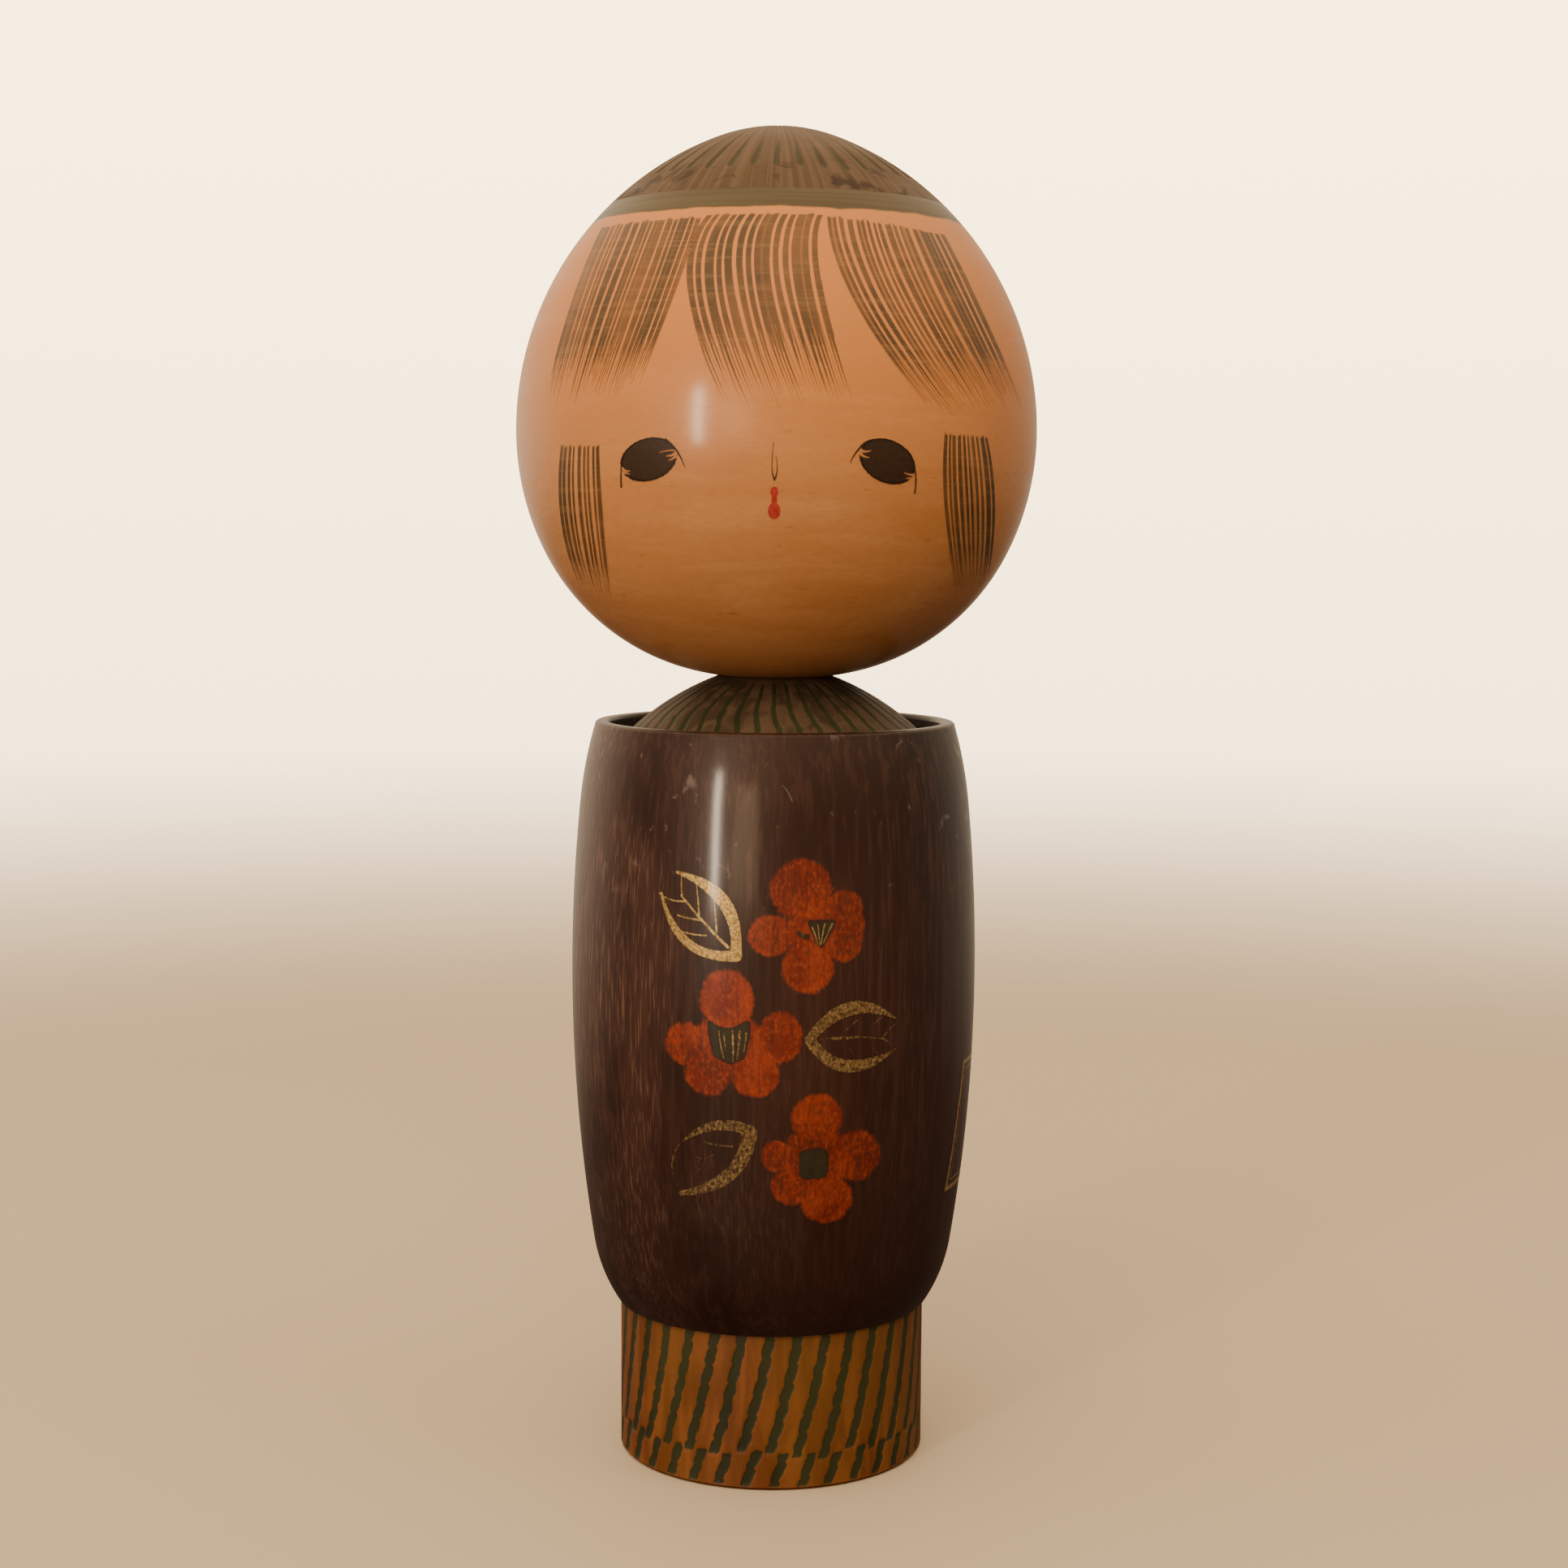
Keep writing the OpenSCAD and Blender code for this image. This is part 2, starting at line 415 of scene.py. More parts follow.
def lacquer_gloss(material, shader):
    """The same satin gloss on the lacquer and on what is painted over it."""
    pores = grain(material, (1500, 1500, 95), 2.0)
    rubbed = grain(material, (60, 60, 26), 4.0, 0.5, shift=(0.3, 0.1, 0))
    chatter = grain(material, (3, 3, 900), 1.0)
    join_sockets(material, in_range(material, rubbed, 0.3, 0.7, 0.38, 0.55), shader.inputs["Roughness"])
    bumped(material, shader, (pores, 0.00003), (chatter, 0.000004))
    shader.inputs["Coat Weight"].default_value = 0.45
    shader.inputs["Coat Roughness"].default_value = 0.14
    shader.inputs["Specular IOR Level"].default_value = 0.3


lacquer, shader = finish_material("kimono_lacquer")
join_sockets(lacquer, lacquer_colour(lacquer), shader.inputs["Base Color"])
lacquer_gloss(lacquer, shader)
give_material(sleeve, lacquer)
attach(sleeve, "body")
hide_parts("sleeve")


# Neck dowel: a plain peg of bare wood, glued into the post and never seen. The head turns on the end of
# it that stands up out of the post.
dowel_wood, shader = finish_material("dowel_wood")
dowel_streaks = grain(dowel_wood, (700, 700, 40), 3.0)
dowel_colour = blended(dowel_wood, dowel_streaks, (0.50, 0.32, 0.16), (0.66, 0.47, 0.27))
join_sockets(dowel_wood, dowel_colour, shader.inputs["Base Color"])
dowel_roughness = in_range(dowel_wood, dowel_streaks, 0.3, 0.7, 0.6, 0.8)
join_sockets(dowel_wood, dowel_roughness, shader.inputs["Roughness"])
bumped(dowel_wood, shader, (dowel_streaks, 0.00008))
give_material(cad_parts["neck_dowel"], dowel_wood)


# Head: a ball turned from pale wood under honey varnish. The crown is stained brown and grooved like the
# post, and a green band is painted round its edge. A blind hole below takes the dowel.
head_low, head_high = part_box("head")
head_r = head_high.x
cheek_z = head_low.z + 0.0455
crown_arc_r = 0.032
fullness = 1.09
chin_turn = math.radians(-26)
turning_gap = 0.00008
head_hole_r = dowel_high.x + turning_gap
head_hole_z = dowel_high.z + 0.0015
band_low_z = 0.2320
band_high_z = 0.2356
crown_groove_count = 38
crown_groove_depth = 0.00022
head_steps = 532

crown_rise = head_high.z - cheek_z
brow_r = (head_r ** 2 + crown_rise ** 2 - 2 * crown_rise * crown_arc_r) / (2 * (head_r - crown_arc_r))
crown_centre = (0, head_high.z - crown_arc_r)
brow_centre = (head_r - brow_r, cheek_z)
crown_turn = math.atan2(crown_centre[1] - brow_centre[1], -brow_centre[0])
cheek_rise = cheek_z - head_low.z
cheek_r = fullness * ((head_r - seat_r) ** 2 + cheek_rise ** 2) / (2 * (head_r - seat_r))
cheek_centre = (head_r - cheek_r, cheek_z)
band_turn = angle_on(cheek_z, brow_r, band_low_z)
chin_start = (cheek_centre[0] + cheek_r * math.cos(chin_turn), cheek_z + cheek_r * math.sin(chin_turn))
head_outline = [(0, head_high.z)] + arc(crown_centre, crown_arc_r, math.pi / 2, crown_turn, 14)
head_outline += arc(brow_centre, brow_r, crown_turn, band_turn, 34)
head_outline += arc(brow_centre, brow_r, band_turn, 0, 44)
head_outline += arc(cheek_centre, cheek_r, 0, chin_turn, 24)
head_outline += arc_on(chin_start, chin_turn, (seat_r, head_low.z), 34)
head_outline += [(head_hole_r, head_low.z), (head_hole_r, head_hole_z), (0, head_hole_z)]
head = turned("head_turned", head_outline, head_steps)


def crown_groove(point):
    """Share of a groove on the crown: a spindle, fine at the top and widest above the band."""
    radius = math.hypot(point.x, point.y)
    if point.z < band_high_z or radius < 0.002:
        return 0
    turn = math.atan2(point.x, -point.y)
    place = turn * crown_groove_count / math.tau + 0.5 + 0.15 * waver(radius * 90, turn)
    number = math.floor(place)
    off = abs(place - number - 0.5) * math.tau * radius / crown_groove_count
    end = 0.0272 + 0.0014 * waver(number * 1.9, 4)
    begin = 0.013 + 0.004 * waver(number * 2.7, 9)
    fat = ramp(radius, begin, end - 0.002) * ramp(radius, end, end - 0.0018)
    width = 0.00012 + 0.00040 * fat + 0.00006 * waver(place * 3, radius * 900)
    strength = (0.35 + 0.65 * fat) * ramp(radius, end, end - 0.0015)
    return strength * ramp(off, width + 0.00022, width - 0.00005)


cut_grooves(head, crown_groove, crown_groove_depth)


def varnished_wood(material):
    """Honey wood with a faint lying figure, the brown crown and the green band, all by place."""
    figure = grain(material, (22, 22, 150), 4.0, 1.4)
    fine = grain(material, (500, 500, 1500), 2.0)
    clouds = grain(material, (30, 30, 30), 3.0)
    flecks = grain(material, (240, 240, 1100), 2.0)
    rise = height(material)
    honey_tones = (0.62, 0.27, 0.094), (0.68, 0.31, 0.115)
    colour = blended(material, in_range(material, figure, 0.36, 0.66), *honey_tones)
    for share, tone in (
        (in_range(material, clouds, 0.35, 0.7, 0.0, 0.35), (0.56, 0.20, 0.052)),
        (in_range(material, fine, 0.3, 0.7, 0.0, 0.22), (0.48, 0.17, 0.045)),
        (in_range(material, flecks, 0.68, 0.76, 0.0, 0.35), (0.30, 0.10, 0.03)),
        (in_range(material, rise, 0.178, 0.216, 0.0, 0.8), (0.62, 0.215, 0.040)),
    ):
        colour = blended(material, share, colour, tone)
    wave = worked(material, "SUBTRACT", grain(material, (160, 160, 160), 3.0), 0.5)
    edge = worked(material, "ADD", rise, worked(material, "MULTIPLY", wave, 0.0011))
    band_streaks = grain(material, (30, 30, 1500), 3.0)
    band_tones = (0.019, 0.027, 0.011), (0.034, 0.042, 0.018)
    band = blended(material, in_range(material, band_streaks, 0.35, 0.65), *band_tones)
    band_share = in_range(material, edge, band_low_z - 0.0002, band_low_z + 0.0003, 0.0, 0.93)
    colour = blended(material, band_share, colour, band)
    flat = shader_node(material, "VectorMath", {0: object_place(material), 1: (1, 1, 0)},
                       operation="MULTIPLY")
    compass = shader_node(material, "VectorMath", {0: flat.outputs[0]}, operation="NORMALIZE").outputs[0]
    rays = shader_node(material, "TexNoise", {"Vector": compass, "Scale": 22.0, "Detail": 4.0}).outputs[0]
    crown_tones = (0.084, 0.051, 0.028), (0.126, 0.079, 0.046)
    crown = blended(material, in_range(material, rays, 0.38, 0.62), *crown_tones)
    blotches = grain(material, (210, 210, 210), 3.0, 0.6, shift=(0.1, 0.2, 0.0))
    near_band = worked(material, "MULTIPLY", in_range(material, rise, 0.2445, 0.2375),
                       in_range(material, blotches, 0.54, 0.66, 0.0, 0.75))
    crown = blended(material, near_band, crown, (0.026, 0.012, 0.010))
    stain = shader_node(material, "Attribute", attribute_name="stain").outputs["Fac"]
    crown = blended(material, in_range(material, stain, 0.3, 0.8, 0.0, 0.7), crown, (0.030, 0.034, 0.012))
    crown_share = in_range(material, edge, band_high_z - 0.0001, band_high_z + 0.0004)
    return blended(material, crown_share, colour, crown)


def varnish_gloss(material, shader, coat=0.42):
    """The clear varnish over the wood and over what is painted on it."""
    figure = grain(material, (22, 22, 150), 4.0, 1.4)
    lathe_lines = grain(material, (4, 4, 1400), 1.0)
    join_sockets(material, in_range(material, figure, 0.3, 0.7, 0.36, 0.5), shader.inputs["Roughness"])
    bumped(material, shader, (lathe_lines, 0.000004))
    shader.inputs["Coat Weight"].default_value = coat
    shader.inputs["Coat Roughness"].default_value = 0.17
    shader.inputs["Specular IOR Level"].default_value = 0.3


head_wood, shader = finish_material("head_wood")
join_sockets(head_wood, varnished_wood(head_wood), shader.inputs["Base Color"])
varnish_gloss(head_wood, shader)
give_material(head, head_wood)
crown_wood, shader = finish_material("crown_wood")
join_sockets(crown_wood, varnished_wood(crown_wood), shader.inputs["Base Color"])
varnish_gloss(crown_wood, shader, 0.0)
shader.inputs["Specular IOR Level"].default_value = 0.12
head.data.materials.append(crown_wood)
for face in head.data.polygons:
    face.material_index = int(face.center.z > band_high_z)
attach(head, "head")
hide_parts("head")


# Fringe and side hair: locks of thin grey-brown ink, each one drag of a wide dry brush whose hairs part
# into stripes and lift off one by one. The ink lies on the wood under the same varnish.
film_t = 0.00005
film_rise = 0.00004
lock_rows = 76


def painted(name, target, columns, rows, place_at, ink_at, facing=0.0):
    """Lays a thin film of paint on a turned piece. place_at bends a unit grid to (x, z) places, seen from
    the facing side, and ink_at gives the paint's density there; what has no paint is cut away."""
    select_none()
    bpy.ops.mesh.primitive_grid_add(x_subdivisions=columns, y_subdivisions=rows, size=1)
    film = bpy.context.object
    film.name = film.data.name = name
    stand_off = 0.06
    least = 0.02
    crease = math.radians(60)
    inks = []
    for point in film.data.vertices:
        share, drop = point.co.x + 0.5, 0.5 - point.co.y
        x, z = place_at(share, drop)
        inks.append(ink_at(share, drop, x, z))
        point.co = (x, -stand_off, z)
    density = film.data.attributes.new("ink", "FLOAT", "POINT")
    density.data.foreach_set("value", inks)
    bpy.ops.object.mode_set(mode="EDIT")
    bpy.ops.mesh.select_mode(type="VERT")
    bpy.ops.mesh.select_all(action="DESELECT")
    bpy.ops.object.mode_set(mode="OBJECT")
    for point, ink in zip(film.data.vertices, inks):
        point.select = ink < least
    bpy.ops.object.mode_set(mode="EDIT")
    bpy.ops.mesh.delete(type="VERT")
    bpy.ops.mesh.select_all(action="SELECT")
    bpy.ops.mesh.delete_loose(use_verts=True, use_edges=True, use_faces=False)
    bpy.ops.object.mode_set(mode="OBJECT")
    film.rotation_euler.z = facing
    wrap = film.modifiers.new("wrap", "SHRINKWRAP")
    wrap.wrap_method = "PROJECT"
    wrap.use_project_y = True
    wrap.target = target
    wrap.offset = film_rise
    bpy.ops.object.modifier_apply(modifier=wrap.name)
    wall = film.modifiers.new("wall", "SOLIDIFY")
    wall.thickness = film_t
    wall.offset = -1
    bpy.ops.object.modifier_apply(modifier=wall.name)
    bpy.ops.object.transform_apply(location=True, rotation=True, scale=True)
    bpy.ops.object.shade_smooth_by_angle(angle=crease)
    return film


def joined(name, films):
    """Joins films of one paint into one piece."""
    select_none()
    for film in films:
        film.select_set(True)
    bpy.context.view_layer.objects.active = films[0]
    bpy.ops.object.join()
    films[0].name = films[0].data.name = name
    return films[0]


def through(points, share):
    """A point on the smooth curve through three points, by its share of the way."""
    weights = (2 * (share - 0.5) * (share - 1), 4 * share * (1 - share), 2 * share * (share - 0.5))
    return tuple(sum(weight * point[axis] for weight, point in zip(weights, points)) for axis in (0, 1))


def brushed_lock(name, left, right, columns, seed, stripes, gap, merging):
    """One lock of hair between its left and right edges, each given by three (x, z) points in metres.
    Its stripes stand a gap apart, a share of their pitch. Some merge, and all fray at the end."""
    def place_at(share, drop):
        a, b = through(left, drop), through(right, drop)
        return a[0] + (b[0] - a[0]) * share, a[1] + (b[1] - a[1]) * share

    def ink_at(share, drop, x, z):
        uneven = 0.05 * waver(share * 6, seed) + 0.006 * waver(drop * 2.5, share * 5, seed)
        bristle = (share + uneven) * stripes
        border = round(bristle)
        bare = gap / 2 * (1 + 1.1 * waver(border * 1.37, seed + 3))
        merged = merging * ramp(waver(border * 5.3, seed + 4), 0.10, 0.16)
        off = abs(bristle - border + 0.10 * waver(border * 3.1, drop * 1.5, seed))
        band = max(ramp(off, bare - 0.05, bare + 0.05), merged)
        fine = (share + uneven) * stripes * 2.6 + 0.5 * waver(share * 9, drop * 3, seed + 5)
        hair_number = math.floor(fine)
        length = 0.93 + 0.13 * waver(hair_number * 2.1, seed + 2)
        fray = ramp(drop, 0.60 + 0.20 * waver(hair_number * 1.7, seed + 6), length + 0.03)
        hair_w = 0.64 - 0.50 * fray
        strand = ramp(abs(fine - hair_number - 0.5), hair_w + 0.13, hair_w - 0.13)
        start = 0.012 + 0.018 * waver(share * 14, seed)
        ends = ramp(drop, start - 0.012, start + 0.008) * ramp(drop, length + 0.06, length - 0.06)
        sides = ramp(share, 0.0, 0.012) * ramp(share, 1.0, 0.988)
        tone = 0.84 + 0.22 * waver(share * 4, drop * 1.6, seed + 1) + 0.08 * waver(x * 300, z * 500, seed)
        loosened = max(band, 0.35 * fray)
        return min(0.92, max(0, loosened * strand * ends * sides * tone))

    return painted(name, head, columns, lock_rows, place_at, ink_at)


locks = [
    brushed_lock("lock_left", ((-0.0316, 0.2304), (-0.0366, 0.2165), (-0.0416, 0.1978)),
                 ((-0.0130, 0.2306), (-0.0176, 0.2160), (-0.0243, 0.1988)), 170, 14, 18, 0.24, 0.86),
    brushed_lock("lock_middle", ((-0.0122, 0.2309), (-0.0157, 0.2175), (-0.0084, 0.1964)),
                 ((0.0082, 0.2309), (0.0079, 0.2185), (0.0140, 0.1972)), 180, 23, 14, 0.28, 0.88),
    brushed_lock("lock_right", ((0.0084, 0.2309), (0.0136, 0.2142), (0.0284, 0.1952)),
                 ((0.0300, 0.2288), (0.0364, 0.2157), (0.0448, 0.1985)), 190, 37, 19, 0.36, 0.60),
    brushed_lock("side_left", ((-0.0383, 0.1911), (-0.0388, 0.1771), (-0.0352, 0.1640)),
                 ((-0.0305, 0.1909), (-0.0300, 0.1771), (-0.0290, 0.1622)), 100, 41, 9, 0.40, 0.25),
    brushed_lock("side_right", ((0.0290, 0.1932), (0.0293, 0.1794), (0.0328, 0.1645)),
                 ((0.0373, 0.1930), (0.0395, 0.1795), (0.0388, 0.1650)), 110, 53, 10, 0.38, 0.25),
]
hair = joined("hair_paint", locks)


def speckled(material, ink, scale, strength):
    """Breaks the ink's density up with fine specks, most of all where the paint thins out."""
    specks = worked(material, "SUBTRACT", grain(material, scale, 2.0), 0.5)
    ragged = worked(material, "ADD", ink, worked(material, "MULTIPLY", specks, strength))
    thin = in_range(material, ink, 0.0, 0.15)
    return worked(material, "MULTIPLY", thin, in_range(material, ragged, 0.12, 0.92))


def paint_over(name, under, gloss, paint, speck_scale=None, speck_strength=0.0):
    """Material of a film: the finish under it, hidden by the paint as far as the ink is dense."""
    material, shader = finish_material(name)
    ink = shader_node(material, "Attribute", attribute_name="ink").outputs["Fac"]
    if speck_scale:
        ink = speckled(material, ink, speck_scale, speck_strength)
    colour = blended(material, ink, under(material), paint(material))
    join_sockets(material, colour, shader.inputs["Base Color"])
    gloss(material, shader)
    return material


def hair_colour(material):
    ink_tones = (0.026, 0.020, 0.009), (0.052, 0.040, 0.018)
    colour = blended(material, grain(material, (260, 260, 260), 3.0), *ink_tones)
    scored = in_range(material, grain(material, (60, 60, 1500), 3.0, 0.5), 0.50, 0.68, 0.0, 0.42)
    return blended(material, scored, colour, (0.20, 0.11, 0.042))


give_material(hair, paint_over("hair_ink", varnished_wood, varnish_gloss, hair_colour))
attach(hair, "head")


# Eyes, nose and mouth: a few strokes of a fine brush on the varnished ball, black for the eyes and the
# nose, and one touch of red for the mouth.
eye_l = (-0.0219, 0.1881)
eye_r = (0.0192, 0.1880)
eye_half_w = 0.0052
eye_half_h = 0.0037
eye_tilt_l = math.radians(17)
eye_tilt_r = math.radians(-24)
brush_step = 0.00009


def legs_of(places, halves):
    """The short legs of a stroke, from its places and half widths, and the box that holds them."""
    spare = max(halves) + 0.0002
    columns = [place[0] for place in places]
    rows = [place[1] for place in places]
    box = (min(columns) - spare, max(columns) + spare, min(rows) - spare, max(rows) + spare)
    return list(zip(places, places[1:], halves, halves[1:])), box


def stroke(points, widths):
    """A tapered stroke along the smooth curve through three (x, z) points, from one width to another."""
    steps = 12
    shares = [step / steps for step in range(steps + 1)]
    halves = [(widths[0] + (widths[1] - widths[0]) * share) / 2 for share in shares]
    return legs_of([through(points, share) for share in shares], halves)


def stroke_share(x, z, drawn, soft=0.00008):
    """Ink of a stroke at a place, soft at its edge."""
    legs, (x_low, x_high, z_low, z_high) = drawn
    if not (x_low < x < x_high and z_low < z < z_high):
        return 0
    best = 0
    for (x0, z0), (x1, z1), half0, half1 in legs:
        dx, dz = x1 - x0, z1 - z0
        along = min(max(((x - x0) * dx + (z - z0) * dz) / (dx * dx + dz * dz), 0), 1)
        half = half0 + (half1 - half0) * along
        off = math.hypot(x - x0 - dx * along, z - z0 - dz * along)
        if off < half + soft:
            best = max(best, ramp(off, half + soft, half - soft))
    return best


def lens_share(x, z, centre, tilt):
    """Ink of the lens of an eye, with a slightly brushed edge."""
    dx, dz = x - centre[0], z - centre[1]
    a = (dx * math.cos(tilt) + dz * math.sin(tilt)) / eye_half_w
    b = (dz * math.cos(tilt) - dx * math.sin(tilt)) / eye_half_h
    turn = math.atan2(b, a)
    reach = math.hypot(a, b) + 0.02 * waver(turn * 14, centre[0] * 900) + 0.008 * waver(turn * 40, 1)
    fill = ramp(reach, 1.01, 0.965)
    bristles = 0.03 * waver(x * 5200, z * 1500, 3)
    return min(1, fill * (0.95 + bristles + 0.05 * ramp(reach, 0.86, 0.94)))


def patch(low, high):
    """Bends the unit grid to a plain rectangle between two (x, z) corners."""
    def place_at(share, drop):
        return low[0] + (high[0] - low[0]) * share, high[1] + (low[1] - high[1]) * drop
    return place_at


def patch_film(name, target, low, high, step, ink_at, facing=0.0):
    columns = round((high[0] - low[0]) / step)
    rows = round((high[1] - low[1]) / step)
    return painted(name, target, columns, rows, patch(low, high), ink_at, facing)


def eye_film(name, centre, tilt, lashes, bare):
    def ink_at(share, drop, x, z):
        ink = lens_share(x, z, centre, tilt)
        for drawn in bare:
            ink *= 1 - 0.9 * stroke_share(x, z, drawn, 0.00010)
        for drawn in lashes:
            ink = max(ink, 0.97 * stroke_share(x, z, drawn))
        return ink
    low = (centre[0] - 0.0072, centre[1] - 0.0060)
    high = (centre[0] + 0.0072, centre[1] + 0.0050)
    return patch_film(name, head, low, high, brush_step, ink_at)


left_lashes = [
    stroke(((-0.0266, 0.1880), (-0.0268, 0.1862), (-0.0268, 0.1834)), (0.00022, 0.00034)),
    stroke(((-0.0189, 0.1916), (-0.0175, 0.1903), (-0.0166, 0.1890)), (0.00028, 0.00040)),
    stroke(((-0.0166, 0.1890), (-0.0160, 0.1879), (-0.0155, 0.1867)), (0.00038, 0.00012)),
]
left_bare = [
    stroke(((-0.0266, 0.1866), (-0.0260, 0.1862), (-0.0252, 0.1862)), (0.0005, 0.0001)),
    stroke(((-0.0265, 0.1859), (-0.0259, 0.1858), (-0.0253, 0.1856)), (0.00045, 0.0001)),
    stroke(((-0.0170, 0.1892), (-0.0178, 0.1888), (-0.0187, 0.1887)), (0.0006, 0.00012)),
    stroke(((-0.0171, 0.1886), (-0.0177, 0.1882), (-0.0183, 0.1880)), (0.0004, 0.0001)),
    stroke(((-0.0172, 0.1896), (-0.0184, 0.1896), (-0.0199, 0.1893)), (0.0002, 0.00008)),
]
right_lashes = [
    stroke(((0.0128, 0.1876), (0.0133, 0.1888), (0.0143, 0.1901)), (0.00014, 0.00036)),
    stroke(((0.0143, 0.1901), (0.0151, 0.1910), (0.0163, 0.1916)), (0.00036, 0.00028)),
    stroke(((0.0236, 0.1880), (0.0242, 0.1856), (0.0241, 0.1826)), (0.0003, 0.00028)),
]
right_bare = [
    stroke(((0.0143, 0.1900), (0.0152, 0.1896), (0.0163, 0.1898)), (0.0006, 0.0001)),
    stroke(((0.0145, 0.1893), (0.0151, 0.1888), (0.0160, 0.1886)), (0.00055, 0.0001)),
    stroke(((0.0240, 0.1858), (0.0232, 0.1858), (0.0222, 0.1861)), (0.0005, 0.0001)),
    stroke(((0.0239, 0.1850), (0.0232, 0.1852), (0.0225, 0.1851)), (0.00045, 0.0001)),
]
eyes = joined("eye_paint", [
    eye_film("eye_left", eye_l, eye_tilt_l, left_lashes, left_bare),
    eye_film("eye_right", eye_r, eye_tilt_r, right_lashes, right_bare),
])


def eye_colour(material):
    black_tones = (0.008, 0.006, 0.005), (0.018, 0.014, 0.011)
    return blended(material, grain(material, (900, 300, 900), 3.0), *black_tones)


give_material(eyes, paint_over("eye_ink", varnished_wood, varnish_gloss, eye_colour))
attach(eyes, "head")

nose_strokes = [
    stroke(((-0.00035, 0.1910), (-0.00055, 0.1890), (-0.00062, 0.1866)), (0.00010, 0.00016)),
    stroke(((-0.00062, 0.1866), (-0.00045, 0.1855), (-0.00018, 0.1848)), (0.00016, 0.00034)),
    stroke(((0.00002, 0.1887), (0.00026, 0.1874), (0.00022, 0.1860)), (0.00010, 0.00018)),
    stroke(((0.00022, 0.1860), (0.00008, 0.1853), (-0.00018, 0.1847)), (0.00020, 0.00034)),
]


def nose_ink(share, drop, x, z):
    return 0.92 * max(stroke_share(x, z, drawn, 0.00007) for drawn in nose_strokes)


nose = patch_film("nose_paint", head, (-0.0013, 0.1840), (0.0011, 0.1914), 0.00006, nose_ink)
give_material(nose, paint_over("nose_ink", varnished_wood, varnish_gloss, eye_colour))
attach(nose, "head")

mouth_x = -0.0002
# each dab of the brush: its height, half width and half height
mouth_dabs = [(0.1826, 0.00068, 0.00095), (0.1812, 0.00052, 0.0011), (0.1794, 0.00108, 0.00145)]


def mouth_ink(share, drop, x, z):
    reaches = [math.hypot((x - mouth_x) / half_w, (z - dab_z) / half_h)
               for dab_z, half_w, half_h in mouth_dabs]
    edge = ramp(min(reaches) + 0.07 * waver(x * 2600, z * 2600), 1.08, 0.90)
    return edge * (0.88 + 0.12 * waver(x * 1500, z * 900, 4))


mouth = patch_film("mouth_paint", head, (-0.0015, 0.1775), (0.0011, 0.1838), 0.00007, mouth_ink)


def mouth_colour(material):
    red_tones = (0.36, 0.004, 0.014), (0.52, 0.016, 0.028)
    return blended(material, grain(material, (900, 900, 900), 2.0), *red_tones)


give_material(mouth, paint_over("mouth_ink", varnished_wood, varnish_gloss, mouth_colour))
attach(mouth, "head")


# Camellias: three flowers stippled on the lacquer in thin orange red, petal by petal, round dark centres
# with gold stamens. The paint is part rubbed away along the grain.
petals = [
    # centre x, centre z, half width, half height, warmth
    [(0.0049, 0.1129, 0.0057, 0.0055, 0.35), (-0.0005, 0.1047, 0.0041, 0.0038, 0.25),
     (0.0062, 0.0991, 0.0047, 0.0050, 0.65), (0.0125, 0.1092, 0.0036, 0.0036, 0.20),
     (0.0125, 0.1035, 0.0036, 0.0038, 0.25), (0.0135, 0.1063, 0.0030, 0.0034, 0.20),
     (0.0080, 0.1055, 0.0060, 0.0050, 0.35)],
    [(-0.0082, 0.0930, 0.0050, 0.0057, 0.95), (-0.0154, 0.0846, 0.0040, 0.0042, 0.35),
     (-0.0115, 0.0798, 0.0043, 0.0044, 0.50), (-0.0030, 0.0796, 0.0044, 0.0042, 0.80),
     (0.0012, 0.0864, 0.0042, 0.0048, 0.70), (-0.0078, 0.0850, 0.0068, 0.0060, 0.45)],
    [(0.0080, 0.0717, 0.0047, 0.0045, 0.40), (0.0151, 0.0641, 0.0045, 0.0050, 0.30),
     (0.0008, 0.0647, 0.0029, 0.0031, 0.40), (0.0035, 0.0590, 0.0038, 0.0036, 0.30),
     (0.0099, 0.0563, 0.0048, 0.0045, 0.45), (0.0080, 0.0638, 0.0066, 0.0064, 0.25)],
]
flower_boxes = [((-0.0054, 0.0928), (0.0174, 0.1196)), ((-0.0204, 0.0744), (0.0064, 0.0998)),
                ((-0.0030, 0.0506), (0.0206, 0.0772))]
petal_step = 0.00021


def flower_film(flower, low, high):
    def ink_at(share, drop, x, z):
        best = 0
        for centre_x, centre_z, half_w, half_h, warmth in flower:
            reach = math.hypot((x - centre_x) / half_w, (z - centre_z) / half_h)
            if reach < 1.3:
                rough = 0.06 * waver(x * 420, z * 420, centre_x * 99) + 0.04 * waver(x * 1500, z * 1500)
                body = ramp(reach + rough, 1.12, 0.84)
                best = max(best, body * (0.56 + 0.30 * warmth + 0.12 * ramp(reach, 0.55, 0.95)))
        stipple = 0.08 * waver(x * 2400, z * 2400, 5)
        grainy = 0.10 * waver(x * 1600, z * 110, 8)
        return max(0, best * (0.93 + stipple + grainy)) if best else 0
    return patch_film("flower", sleeve, low, high, petal_step, ink_at)


flowers = joined("flower_paint", [flower_film(flower, *box) for flower, box in zip(petals, flower_boxes)])


